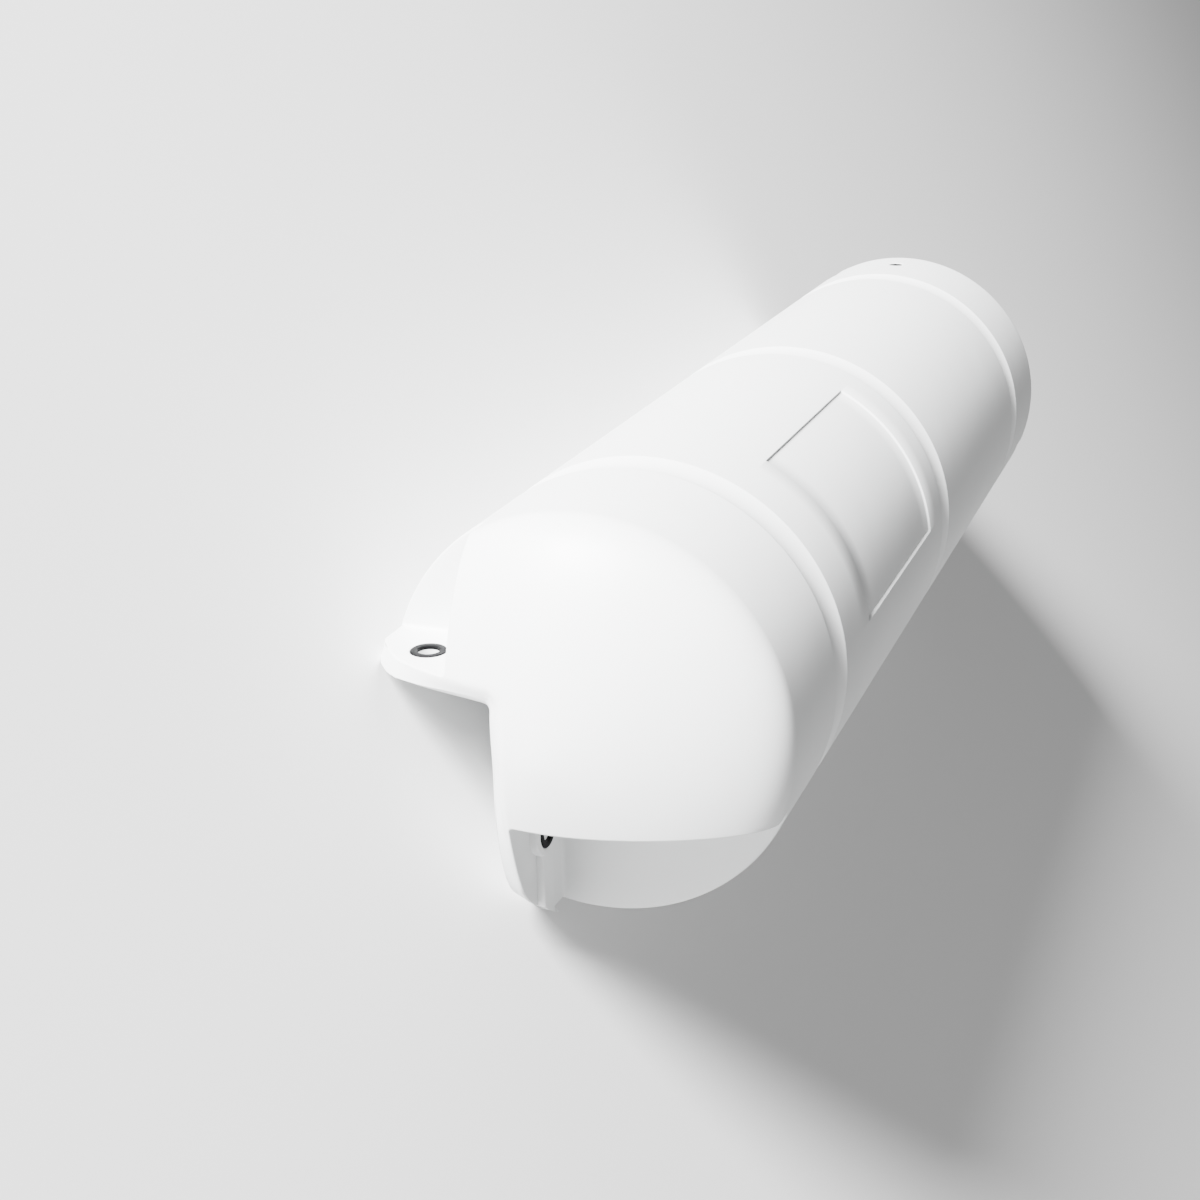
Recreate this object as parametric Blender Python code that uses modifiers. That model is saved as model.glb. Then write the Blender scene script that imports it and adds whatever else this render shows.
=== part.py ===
"""Three-quarter dock fender: a moulded round bumper with a long notch that sits on a dock's edge.

The shapes are laid out as the fender hangs on a dock: X along the fender, Y from the water towards
the dock, Z up, and the axis of the round body on the X axis. An empty then turns everything about X,
so that the fender lies with its notch down on a level floor, its origin on the floor at its middle.
"""
import math

import bmesh
import bpy
import numpy as np
from mathutils import Matrix, Vector

# Round body, in metres
RADIUS = 0.125
AROUND = 80                # facets around the body
DOME_START = 0.4235        # distance of the domes' rims from the middle
DOME_DEPTH = 0.057
DOME_POWER = 1.54          # exponent of the dome's superelliptic profile
DOME_LEAN = 0.03           # how far the domes lean towards the dock, metre per metre
DOME_RINGS = 10

# Ring grooves: one in the middle and one towards each end
GROOVE_PITCH = 0.315
GROOVE_WIDTH = 0.027
GROOVE_DEPTH = 0.0035
GROOVE_FACETS = 6

# Notch for the dock's edge
NOTCH_Y = 0.034            # contact face against the dock's side
NOTCH_Z = 0.026            # contact face on the dock's top
EDGE_RADIUS = 0.005        # rounding of the two long outer edges and of the notch's inner corner
ROUND_FACETS = 4

# Fastening tabs, left where a pocket is cut into each dome above and below the notch
TAB_THICKNESS = 0.013
WALL_X = 0.401             # end walls of the pockets
POCKET_TOP_Y = 0.061       # upright wall of the upper pockets
POCKET_SIDE_Z = -0.042     # ceiling of the lower pockets

# Eyelets in the tabs
EYELET_X = 0.431
EYELET_TOP_Y = 0.086
EYELET_SIDE_Z = -0.0625
EYELET_BORE = 0.013
RING_DIAMETER = 0.021
RING_SEAT = 0.002          # depth of the recess that a ring lies in
RING_THICKNESS = 0.0022
RING_CHAMFER = 0.0005
BOSS_DIAMETER = 0.031
BOSS_HEIGHT = 0.005
RIB_WIDTH = 0.014

# Recessed panel on the water side, angles from +Y over the top
PANEL_START_X = -0.243
PANEL_END_X = -0.054
PANEL_START_ANGLE = math.radians(117)
PANEL_END_ANGLE = math.radians(173.5)
PANEL_DEPTH = 0.0015
PANEL_FACETS = 14

# Air valve on top, near the end at +X
VALVE_X = 0.380
VALVE_DIAMETER = 0.012
VALVE_DEPTH = 0.006
VALVE_SLOT = 0.002         # width and depth of the slot across the plug
SLOT_REACH = 0.7           # half length of the slot as a share of the plug's radius

FIT_GAP = 0.0003           # between pieces that touch
CLEAR = 0.08               # how far a cutter reaches past the body
TURNED_STEPS = 28          # facets of the small round pieces
MERGE_DISTANCE = 1e-6
SHARP_ANGLE = math.radians(25)

WHITE = (0.80, 0.81, 0.81)
WHITE_ROUGHNESS = 0.38
BLACK = (0.025, 0.026, 0.028)
BLACK_ROUGHNESS = 0.55

TAB_TOP_Z = NOTCH_Z + TAB_THICKNESS
TAB_FRONT_Y = NOTCH_Y - TAB_THICKNESS
END_X = DOME_START + DOME_DEPTH + CLEAR


def clear_scene():
    for old in list(bpy.data.objects):
        bpy.data.objects.remove(old, do_unlink=True)


def new_collection(name):
    collection = bpy.data.collections.new(name)
    bpy.context.scene.collection.children.link(collection)
    return collection


def material(name, colour, roughness, metallic=0.0):
    made = bpy.data.materials.new(name)
    made.use_nodes = True
    shader = made.node_tree.nodes["Principled BSDF"]
    shader.inputs["Base Color"].default_value = (*colour, 1.0)
    shader.inputs["Roughness"].default_value = roughness
    shader.inputs["Metallic"].default_value = metallic
    return made


def object_from_bmesh(name, shape, collection):
    mesh = bpy.data.meshes.new(name)
    shape.to_mesh(mesh)
    shape.free()
    made = bpy.data.objects.new(name, mesh)
    collection.objects.link(made)
    return made


def baked_mesh(source):
    """The evaluated mesh of an object, which is then removed with its modifiers."""
    bpy.context.view_layer.update()
    graph = bpy.context.evaluated_depsgraph_get()
    mesh = bpy.data.meshes.new_from_object(source.evaluated_get(graph))
    bpy.data.objects.remove(source, do_unlink=True)
    return mesh


def turned(name, profile, steps, collection):
    """A profile of (radius, height) points, outer side from top to bottom, turned about Z."""
    outline = bpy.data.meshes.new(name + "_profile")
    points = [(radius, 0.0, height) for radius, height in profile]
    edges = [(i, i + 1) for i in range(len(points) - 1)]
    outline.from_pydata(points, edges, [])
    source = bpy.data.objects.new(name + "_profile", outline)
    bpy.context.scene.collection.objects.link(source)
    screw = source.modifiers.new("turn", "SCREW")
    screw.steps = steps
    screw.render_steps = steps
    screw.use_merge_vertices = True
    screw.merge_threshold = MERGE_DISTANCE
    mesh = baked_mesh(source)
    mesh.name = name
    made = bpy.data.objects.new(name, mesh)
    collection.objects.link(made)
    return made


def box(name, low, high, collection):
    shape = bmesh.new()
    size = Vector(high) - Vector(low)
    middle = (Vector(high) + Vector(low)) / 2
    place = Matrix.Translation(middle) @ Matrix.Diagonal((*size, 1.0))
    bmesh.ops.create_cube(shape, size=1.0, matrix=place)
    return object_from_bmesh(name, shape, collection)


def cylinder(name, centre, axis, diameter, length, collection):
    """A cylinder about Y or Z, its middle at centre."""
    turn = Matrix.Rotation(math.radians(90), 4, "X") if axis == "Y" else Matrix.Identity(4)
    shape = bmesh.new()
    bmesh.ops.create_cone(
        shape,
        cap_ends=True,
        segments=TURNED_STEPS,
        radius1=diameter / 2,
        radius2=diameter / 2,
        depth=length,
        matrix=Matrix.Translation(centre) @ turn,
    )
    return object_from_bmesh(name, shape, collection)


def prism(name, outline, low_x, high_x, collection):
    """A closed outline of (y, z) points, extruded along X."""
    shape = bmesh.new()
    corners = [shape.verts.new((low_x, y, z)) for y, z in outline]
    face = shape.faces.new(corners)
    grown = bmesh.ops.extrude_face_region(shape, geom=[face])
    moved = [item for item in grown["geom"] if isinstance(item, bmesh.types.BMVert)]
    bmesh.ops.translate(shape, verts=moved, vec=(high_x - low_x, 0.0, 0.0))
    bmesh.ops.recalc_face_normals(shape, faces=shape.faces)
    return object_from_bmesh(name, shape, collection)


def boolean(target, other, operation="DIFFERENCE"):
    modifier = target.modifiers.new(operation.lower(), "BOOLEAN")
    modifier.operation = operation
    modifier.solver = "EXACT"
    modifier.object = other


def arc(centre, radius, start, end, facets):
    """Points of an arc about centre, angles in radians."""
    angles = np.linspace(start, end, facets + 1)
    return [(centre[0] + radius * math.cos(a), centre[1] + radius * math.sin(a)) for a in angles]


def long_edges():
    """Centres of the roundings where the notch's two faces meet the round outside."""
    reach = RADIUS - EDGE_RADIUS
    top_z = NOTCH_Z + EDGE_RADIUS
    side_y = NOTCH_Y - EDGE_RADIUS
    top = Vector((math.sqrt(reach**2 - top_z**2), top_z))
    side = Vector((side_y, -math.sqrt(reach**2 - side_y**2)))
    return top, side


def body_profile():
    """Radius and height from one dome's tip to the other's, the outer side from top to bottom."""
    turn = np.linspace(0.0, math.pi / 2, DOME_RINGS + 1)
    dome_radius = RADIUS * np.sin(turn) ** (2 / DOME_POWER)
    dome_height = DOME_START + DOME_DEPTH * np.cos(turn) ** (2 / DOME_POWER)
    upper = list(zip(dome_radius, dome_height))
    half = GROOVE_WIDTH / 2
    groove_radius = (half**2 + GROOVE_DEPTH**2) / (2 * GROOVE_DEPTH)
    middle = []
    for groove in (GROOVE_PITCH, 0.0, -GROOVE_PITCH):
        for step in np.linspace(half, -half, GROOVE_FACETS + 1):
            sunk = math.sqrt(groove_radius**2 - step**2) - (groove_radius - GROOVE_DEPTH)
            middle.append((RADIUS - sunk, groove + step))
    lower = [(radius, -height) for radius, height in reversed(upper)]
    return upper + middle + lower


def lean_domes(mesh):
    """Slide each dome's points along X, further out towards the notch."""
    count = len(mesh.vertices)
    flat = np.empty(3 * count, dtype=np.float32)
    mesh.vertices.foreach_get("co", flat)
    points = flat.reshape(count, 3)
    on_dome = np.abs(points[:, 0]) > DOME_START - FIT_GAP
    slide = np.sign(points[:, 0]) * DOME_LEAN * (points[:, 1] - points[:, 2])
    points[:, 0] += np.where(on_dome, slide, 0.0)
    mesh.vertices.foreach_set("co", points.ravel())
    mesh.update()


def notch_cutter(collection):
    """The dock's corner, with the long outer edges and the inner corner rounded."""
    top, side = long_edges()
    facets = ROUND_FACETS
    far = RADIUS + CLEAR
    inner = (NOTCH_Y + EDGE_RADIUS, NOTCH_Z - EDGE_RADIUS)
    outline = arc(inner, EDGE_RADIUS, math.pi, math.pi / 2, facets)
    outline += arc(top, EDGE_RADIUS, -math.pi / 2, math.atan2(top.y, top.x), facets)
    outline.append((far, top.y * far / top.x))
    outline.append((far, -far))
    outline.append((side.x * far / -side.y, -far))
    outline += arc(side, EDGE_RADIUS, math.atan2(side.y, side.x), 0.0, facets)
    return prism("notch_cutter", outline, -END_X, END_X, collection)


def pocket_cutters(end, cutters):
    """Cutters above and below the notch at one end: -1 or 1."""
    far = RADIUS + CLEAR
    near_x, far_x = sorted((end * WALL_X, end * END_X))
    upper = box("pocket_top_cutter", (near_x, POCKET_TOP_Y, TAB_TOP_Z), (far_x, far, far), cutters)
    lower = box("pocket_side_cutter", (near_x, -far, -far), (far_x, TAB_FRONT_Y, POCKET_SIDE_Z), cutters)
    front = TAB_FRONT_Y - BOSS_HEIGHT
    centre = (end * EYELET_X, front + TAB_THICKNESS / 2, EYELET_SIDE_Z)
    boss = cylinder("boss_guide", centre, "Y", BOSS_DIAMETER, TAB_THICKNESS, cutters)
    half = RIB_WIDTH / 2
    rib = box(
        "rib_guide",
        (end * EYELET_X - half, front, -RADIUS - 2 * CLEAR),
        (end * EYELET_X + half, front + TAB_THICKNESS, EYELET_SIDE_Z),
        cutters,
    )
    boolean(lower, boss)
    boolean(lower, rib)
    return [upper, lower]


def eyelet_places():
    """Name, outer end of the bore and the axis of each eyelet."""
    places = []
    for number, end in ((1, -1), (2, 1)):
        top = Vector((end * EYELET_X, EYELET_TOP_Y, TAB_TOP_Z))
        side = Vector((end * EYELET_X, TAB_FRONT_Y - BOSS_HEIGHT, EYELET_SIDE_Z))
        places.append((f"top_{number}", top, "Z"))
        places.append((f"side_{number}", side, "Y"))
    return places


def eyelet_cutters(name, mouth, axis, cutters):
    """The bore through the tab, and the shallow seat of its ring."""
    length = 2 * (TAB_THICKNESS + BOSS_HEIGHT) + CLEAR / 4
    bore = cylinder(f"bore_cutter_{name}", mouth, axis, EYELET_BORE, length, cutters)
    seat_width = RING_DIAMETER + 2 * FIT_GAP
    seat = cylinder(f"seat_cutter_{name}", mouth, axis, seat_width, 2 * RING_SEAT, cutters)
    return [bore, seat]


def panel_cutter(cutters):
    """A rectangle above the round face, spun about X through the panel's angles."""
    shape = bmesh.new()
    low = RADIUS - PANEL_DEPTH
    high = RADIUS + CLEAR / 4
    start = (math.cos(PANEL_START_ANGLE), math.sin(PANEL_START_ANGLE))
    corners = (
        (PANEL_START_X, low),
        (PANEL_END_X, low),
        (PANEL_END_X, high),
        (PANEL_START_X, high),
    )
    verts = [shape.verts.new((x, start[0] * reach, start[1] * reach)) for x, reach in corners]
    face = shape.faces.new(verts)
    bmesh.ops.spin(
        shape,
        geom=[face],
        cent=(0.0, 0.0, 0.0),
        axis=(1.0, 0.0, 0.0),
        angle=PANEL_END_ANGLE - PANEL_START_ANGLE,
        steps=PANEL_FACETS,
        use_merge=False,
        use_duplicate=False,
    )
    bmesh.ops.recalc_face_normals(shape, faces=shape.faces)
    return object_from_bmesh("panel_cutter", shape, cutters)


def fender_body(pieces, cutters):
    body = turned("fender_body", body_profile(), AROUND, pieces)
    body.data.transform(Matrix.Rotation(math.radians(90), 4, "Y"))
    lean_domes(body.data)
    tools = [notch_cutter(cutters), panel_cutter(cutters)]
    for end in (-1, 1):
        tools += pocket_cutters(end, cutters)
    for name, mouth, axis in eyelet_places():
        tools += eyelet_cutters(name, mouth, axis, cutters)
    valve_seat = (VALVE_X, 0.0, RADIUS)
    tools.append(cylinder("valve_cutter", valve_seat, "Z", VALVE_DIAMETER, 2 * VALVE_DEPTH, cutters))
    for tool in tools:
        boolean(body, tool)
    return body


def ring_profile():
    """A flat washer's section, outer side from top to bottom and back up its bore."""
    outer = RING_DIAMETER / 2
    inner = EYELET_BORE / 2
    top = RING_THICKNESS
    return [
        (inner, top),
        (outer - RING_CHAMFER, top),
        (outer, top - RING_CHAMFER),
        (outer, 0.0),
        (inner, 0.0),
        (inner, top),
    ]


def eyelet_ring(name, mouth, axis, pieces):
    ring = turned(f"eyelet_ring_{name}", ring_profile(), TURNED_STEPS, pieces)
    if axis == "Z":
        ring.location = mouth - Vector((0, 0, RING_SEAT - FIT_GAP))
    else:
        ring.rotation_euler = (math.radians(90), 0.0, 0.0)
        ring.location = mouth + Vector((0, RING_SEAT - FIT_GAP, 0))
    return ring


def valve_plug(pieces, cutters):
    """A round screw plug with a slot across its face."""
    radius = VALVE_DIAMETER / 2 - FIT_GAP
    height = VALVE_DEPTH - 2 * FIT_GAP
    profile = [
        (0.0, height),
        (radius - RING_CHAMFER, height),
        (radius, height - RING_CHAMFER),
        (radius, 0.0),
        (0.0, 0.0),
    ]
    plug = turned("valve_plug", profile, TURNED_STEPS, pieces)
    plug.location = (VALVE_X, 0.0, RADIUS - VALVE_DEPTH + FIT_GAP)
    half = VALVE_SLOT / 2
    low = (VALVE_X - radius * SLOT_REACH, -half, RADIUS - VALVE_SLOT)
    high = (VALVE_X + radius * SLOT_REACH, half, RADIUS + VALVE_SLOT)
    boolean(plug, box("slot_cutter", low, high, cutters))
    return plug


def lay_on_floor(objects):
    """Turn the fender about X, notch down, until it stands on its two long edges."""
    top, side = long_edges()
    across = top - side
    down = Vector((across.y, -across.x)).normalized()
    lift = down.dot(top) + EDGE_RADIUS
    rest = bpy.data.objects.new("resting_pose", None)
    bpy.context.scene.collection.objects.link(rest)
    rest.rotation_euler = (-math.pi / 2 - math.atan2(down.y, down.x), 0.0, 0.0)
    rest.location = (0.0, 0.0, lift)
    for item in objects:
        item.parent = rest


def main():
    clear_scene()
    pieces = new_collection("dock_fender")
    cutters = new_collection("cutters")
    body = fender_body(pieces, cutters)
    body.data.materials.append(material("white_vinyl", WHITE, WHITE_ROUGHNESS))
    black = material("black_rubber", BLACK, BLACK_ROUGHNESS)
    small = [eyelet_ring(name, mouth, axis, pieces) for name, mouth, axis in eyelet_places()]
    small.append(valve_plug(pieces, cutters))
    for piece in small:
        piece.data.materials.append(black)
    for piece in [body, *small]:
        piece.data.shade_smooth()
        piece.data.set_sharp_from_angle(angle=SHARP_ANGLE)
    for cutter in cutters.objects:
        cutter.hide_render = True
        cutter.display_type = "WIRE"
    lay_on_floor([*pieces.objects, *cutters.objects])


main()
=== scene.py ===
"""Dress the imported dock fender: its moulded vinyl body, eyelet rings, valve plug and stage.

Shapes are worked out as the fender hangs on a dock: X along it, Y towards the dock, Z up, the
axis of the round body on the X axis. One turn about X and a lift then lay them on the floor.
"""

import math

import bmesh
import bpy
import numpy as np
from mathutils import Matrix, Vector


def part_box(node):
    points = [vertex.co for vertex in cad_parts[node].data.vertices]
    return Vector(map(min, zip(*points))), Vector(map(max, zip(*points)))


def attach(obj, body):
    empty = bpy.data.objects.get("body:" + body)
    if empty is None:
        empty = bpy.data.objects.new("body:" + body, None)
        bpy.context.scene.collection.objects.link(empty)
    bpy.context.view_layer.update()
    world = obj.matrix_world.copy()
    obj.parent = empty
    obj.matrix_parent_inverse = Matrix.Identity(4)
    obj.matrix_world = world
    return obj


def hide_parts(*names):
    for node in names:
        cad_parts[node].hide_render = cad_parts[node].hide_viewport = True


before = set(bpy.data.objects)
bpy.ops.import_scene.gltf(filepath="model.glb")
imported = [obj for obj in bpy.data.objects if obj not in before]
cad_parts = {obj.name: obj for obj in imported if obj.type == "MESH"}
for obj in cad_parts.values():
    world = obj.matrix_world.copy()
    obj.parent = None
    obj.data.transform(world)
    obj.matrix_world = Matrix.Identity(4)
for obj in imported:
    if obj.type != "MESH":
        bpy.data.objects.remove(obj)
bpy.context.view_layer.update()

bl_info = {
    "name": "Dock fender",
    "version": (1, 0, 0),
    "blender": (4, 5, 0),
    "location": "View3D > Sidebar > Fender",
    "description": "Builds a three-quarter dock fender around its packed frame, with its stage",
    "category": "Object",
}

BODY_LOW, BODY_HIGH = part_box("fender_body")


class FenderSizes(bpy.types.PropertyGroup):
    """Driving dimensions of the fender, in metres."""

    radius: bpy.props.FloatProperty(
        name="Radius", description="Radius of the round body",
        default=(BODY_HIGH.y - BODY_LOW.y) / 2, unit="LENGTH",
    )
    dome_start: bpy.props.FloatProperty(
        name="Dome start", description="Distance of the domes' rims from the middle",
        default=0.4235, unit="LENGTH",
    )
    dome_depth: bpy.props.FloatProperty(
        name="Dome depth", description="How far a dome bulges", default=0.05697, unit="LENGTH",
    )
    dome_power: bpy.props.FloatProperty(
        name="Dome power", description="Exponent of the dome's superelliptic profile", default=1.54,
    )
    dome_lean: bpy.props.FloatProperty(
        name="Dome lean", description="How far the domes lean towards the dock, metre per metre",
        default=0.03,
    )
    notch_y: bpy.props.FloatProperty(
        name="Notch side", description="Contact face against the dock's side, from the axis",
        default=0.034, unit="LENGTH",
    )
    notch_z: bpy.props.FloatProperty(
        name="Notch top", description="Contact face on the dock's top, from the axis",
        default=0.026, unit="LENGTH",
    )
    notch_corner: bpy.props.FloatProperty(
        name="Notch corner", description="Rounding of the notch's inner corner",
        default=0.0025, unit="LENGTH",
    )
    long_edge: bpy.props.FloatProperty(
        name="Long edge", description="Rounding of the notch's long edges", default=0.005, unit="LENGTH",
    )
    tab: bpy.props.FloatProperty(
        name="Tab", description="Thickness of the fastening tabs", default=0.013, unit="LENGTH",
    )
    wall_x: bpy.props.FloatProperty(
        name="Pocket wall", description="End walls of the pockets, from the middle",
        default=0.401, unit="LENGTH",
    )
    pocket_y: bpy.props.FloatProperty(
        name="Upper pocket", description="Upright wall of the upper pockets", default=0.061, unit="LENGTH",
    )
    pocket_z: bpy.props.FloatProperty(
        name="Lower pocket", description="Ceiling of the lower pockets", default=-0.042, unit="LENGTH",
    )
    groove_pitch: bpy.props.FloatProperty(
        name="Groove pitch", description="Distance between the ring grooves", default=0.315, unit="LENGTH",
    )
    groove_width: bpy.props.FloatProperty(
        name="Groove width", description="Width of a ring groove", default=0.027, unit="LENGTH",
    )
    groove_depth: bpy.props.FloatProperty(
        name="Groove depth", description="Depth of a ring groove", default=0.0035, unit="LENGTH",
    )
    eyelet_x: bpy.props.FloatProperty(
        name="Eyelet place", description="Eyelets' distance from the middle", default=0.431, unit="LENGTH",
    )
    eyelet_top_y: bpy.props.FloatProperty(
        name="Top eyelet", description="Place of the upper eyelets across the dock's top",
        default=0.086, unit="LENGTH",
    )
    eyelet_side_z: bpy.props.FloatProperty(
        name="Side eyelet", description="Height of the lower eyelets", default=-0.0625, unit="LENGTH",
    )
    bore: bpy.props.FloatProperty(
        name="Bore", description="Diameter of the eyelets' bores", default=0.013, unit="LENGTH",
    )
    ring: bpy.props.FloatProperty(
        name="Ring", description="Outer diameter of the eyelet rings", default=0.021, unit="LENGTH",
    )
    boss: bpy.props.FloatProperty(
        name="Boss", description="Diameter of the lower eyelets' bosses", default=0.031, unit="LENGTH",
    )
    boss_height: bpy.props.FloatProperty(
        name="Boss height", description="How far a boss stands out", default=0.005, unit="LENGTH",
    )
    rib: bpy.props.FloatProperty(
        name="Rib", description="Width of the rib below a boss", default=0.014, unit="LENGTH",
    )
    panel_start: bpy.props.FloatProperty(
        name="Panel start", description="End of the recessed panel towards -X", default=-0.243, unit="LENGTH",
    )
    panel_end: bpy.props.FloatProperty(
        name="Panel end", description="End of the recessed panel towards +X", default=-0.054, unit="LENGTH",
    )
    panel_top: bpy.props.FloatProperty(
        name="Panel top", description="Angle of the panel's upper edge, from the dock over the top",
        default=math.radians(117), subtype="ANGLE",
    )
    panel_bottom: bpy.props.FloatProperty(
        name="Panel bottom", description="Angle of the panel's lower edge",
        default=math.radians(173.5), subtype="ANGLE",
    )
    rim_ease: bpy.props.FloatProperty(
        name="Rim ease", description="Height of a dome up to which its rim is eased",
        default=0.020, unit="LENGTH",
    )
    fall_side: bpy.props.FloatProperty(
        name="Fall beside notch", description="How far a dome falls back beside the notch",
        default=0.008, unit="LENGTH",
    )
    fall_top: bpy.props.FloatProperty(
        name="Fall above notch", description="How far a dome falls back above the notch",
        default=0.0053, unit="LENGTH",
    )
    corner_top: bpy.props.FloatProperty(
        name="Upper tab corner", description="How far the upper tabs' outer corners fall back",
        default=0.0045, unit="LENGTH",
    )
    corner_side: bpy.props.FloatProperty(
        name="Lower tab corner", description="How far the lower tabs' outer corners fall back",
        default=0.010, unit="LENGTH",
    )
    panel_depth: bpy.props.FloatProperty(
        name="Panel depth", description="Depth of the recessed panel", default=0.0015, unit="LENGTH",
    )
    valve_x: bpy.props.FloatProperty(
        name="Valve place", description="Air valve's distance from the middle", default=0.380, unit="LENGTH",
    )
    valve: bpy.props.FloatProperty(
        name="Valve", description="Diameter of the air valve's recess", default=0.012, unit="LENGTH",
    )
    valve_depth: bpy.props.FloatProperty(
        name="Valve depth", description="Depth of the air valve's recess", default=0.006, unit="LENGTH",
    )


class FenderFinish(bpy.types.PropertyGroup):
    """Colours and edge roundings that a user would change."""

    vinyl: bpy.props.FloatVectorProperty(
        name="Vinyl", description="Colour of the moulded body", subtype="COLOR",
        size=3, min=0.0, max=1.0, default=(0.80, 0.81, 0.81),
    )
    # near black: the rubber's own colour, and on the eyelet rings also painted shade of the eyelets'
    # counterbores
    rubber_and_shade: bpy.props.FloatVectorProperty(
        name="Rubber", description="Colour of the rings and the plug", subtype="COLOR",
        size=3, min=0.0, max=1.0, default=(0.003, 0.003, 0.0035),
    )
    floor: bpy.props.FloatVectorProperty(
        name="Floor", description="Colour of the floor", subtype="COLOR",
        size=3, min=0.0, max=1.0, default=(0.82, 0.82, 0.82),
    )
    tab_edge: bpy.props.FloatProperty(
        name="Tab edge", description="Rounding along the domes' edges at the notch",
        default=0.0055, unit="LENGTH",
    )
    crisp_edge: bpy.props.FloatProperty(
        name="Crisp edge", description="Rounding of the pockets' edges", default=0.0012, unit="LENGTH",
    )
    foot: bpy.props.FloatProperty(
        name="Foot", description="Rounding in the pockets' inner corners", default=0.003, unit="LENGTH",
    )


def sizes():
    return bpy.context.scene.fender_sizes


def finish():
    return bpy.context.scene.fender_finish


# Placing


def resting_pose():
    """Turn about X and lift that lay the mounted fender on its two long edges."""
    s = sizes()
    reach = s.radius - s.long_edge
    top_z = s.notch_z + s.long_edge
    side_y = s.notch_y - s.long_edge
    top = Vector((math.sqrt(reach**2 - top_z**2), top_z))
    side = Vector((side_y, -math.sqrt(reach**2 - side_y**2)))
    across = top - side
    down = Vector((across.y, -across.x)).normalized()
    turn = -math.pi / 2 - math.atan2(down.y, down.x)
    return Matrix.Translation((0.0, 0.0, down.dot(top) + s.long_edge)) @ Matrix.Rotation(turn, 4, "X")


def laid(points):
    """Mounted points, an (..., 3) array, in the resting pose."""
    pose = np.array(resting_pose())
    return points @ pose[:3, :3].T + pose[:3, 3]


def add_piece(name, points, faces, smooth_angle=None):
    """An object at the origin from an (n, 3) array of mounted points."""
    mesh = bpy.data.meshes.new(name)
    mesh.from_pydata(laid(points).tolist(), [], faces)
    mesh.validate()
    piece = bpy.data.objects.new(name, mesh)
    bpy.context.scene.collection.objects.link(piece)
    mesh.shade_smooth()
    if smooth_angle is not None:
        mesh.set_sharp_from_angle(angle=smooth_angle)
    return piece


# Rounded set operations on distance fields: negative is inside


def rounded_max(a, b, r):
    """Where both fields are inside; the outer edge is an arc of radius r."""
    return np.minimum(np.maximum(a, b), -r) + np.hypot(np.maximum(a + r, 0.0), np.maximum(b + r, 0.0))


def rounded_min(a, b, r):
    """Where either field is inside; the inner corner is an arc of radius r."""
    return np.maximum(np.minimum(a, b), r) - np.hypot(np.maximum(r - a, 0.0), np.maximum(r - b, 0.0))


def rolled_edge(solid, out, over, centre_out, centre_over, r):
    """solid with an arc of radius r round a centre, between the face below it and the round face.

    A point belongs to the arc where its offset from the centre is a positive sum of the two
    faces' normals, straight down and away from the fender's axis.
    """
    off, up = out - centre_out, over - centre_over
    away = off / centre_out
    down = away * centre_over - up
    return np.where((away > 0.0) & (down > 0.0), np.hypot(off, up) - r, solid)


def smooth_step(low, high, value):
    t = np.clip((value - low) / (high - low), 0.0, 1.0)
    return t * t * (3.0 - 2.0 * t)


class Section:
    """Cross-sections of the body in (y, z), read along rays from a point inside both tabs' planes."""

    def __init__(self):
        s, f = sizes(), finish()
        self.s, self.f = s, f
        self.centre = np.array([s.notch_y - s.tab / 2, s.notch_z + s.tab / 2])
        self.tab_z = s.notch_z + s.tab
        self.tab_y = s.notch_y - s.tab

    def middle(self, y, z, sunk=0.0):
        """The round body less the notch. sunk is how far the round face lies below the radius.

        Each long edge is the arc round the point that lies its radius inside both faces.
        """
        s = self.s
        body = np.hypot(y, z) - s.radius + sunk
        beside_notch = rounded_min(y - s.notch_y, s.notch_z - z, s.notch_corner)
        solid = np.maximum(body, beside_notch)
        inner = s.radius - sunk - s.long_edge
        level = s.notch_z + s.long_edge
        solid = rolled_edge(solid, y, z, np.sqrt(inner**2 - level**2), level, s.long_edge)
        level = s.notch_y - s.long_edge
        return rolled_edge(solid, -z, -y, np.sqrt(inner**2 - level**2), -level, s.long_edge)

    def end(self, y, z, sunk=0.0):
        """The section past the end walls, where the two pockets leave the tabs."""
        s, f = self.s, self.f
        upper = rounded_min(y - s.pocket_y, z - self.tab_z, f.foot)
        lower = rounded_min(self.tab_y - y, s.pocket_z - z, f.foot)
        solid = rounded_max(self.middle(y, z, sunk), upper, f.crisp_edge)
        return rounded_max(solid, lower, f.crisp_edge)

    def reach(self, field, angles, level=0.0, sunk=0.0):
        """Distance from the centre at which field rises through level, by halving an interval."""
        shape = np.broadcast(angles, np.asarray(level), np.asarray(sunk)).shape
        low = np.zeros(shape)
        high = np.full(shape, 2.0 * self.s.radius)
        across, up = np.cos(angles), np.sin(angles)
        for _ in range(HALVINGS):
            mid = (low + high) / 2
            outside = field(self.centre[0] + mid * across, self.centre[1] + mid * up, sunk) > level
            high = np.where(outside, mid, high)
            low = np.where(outside, low, mid)
        return (low + high) / 2


HALVINGS = 34


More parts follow.
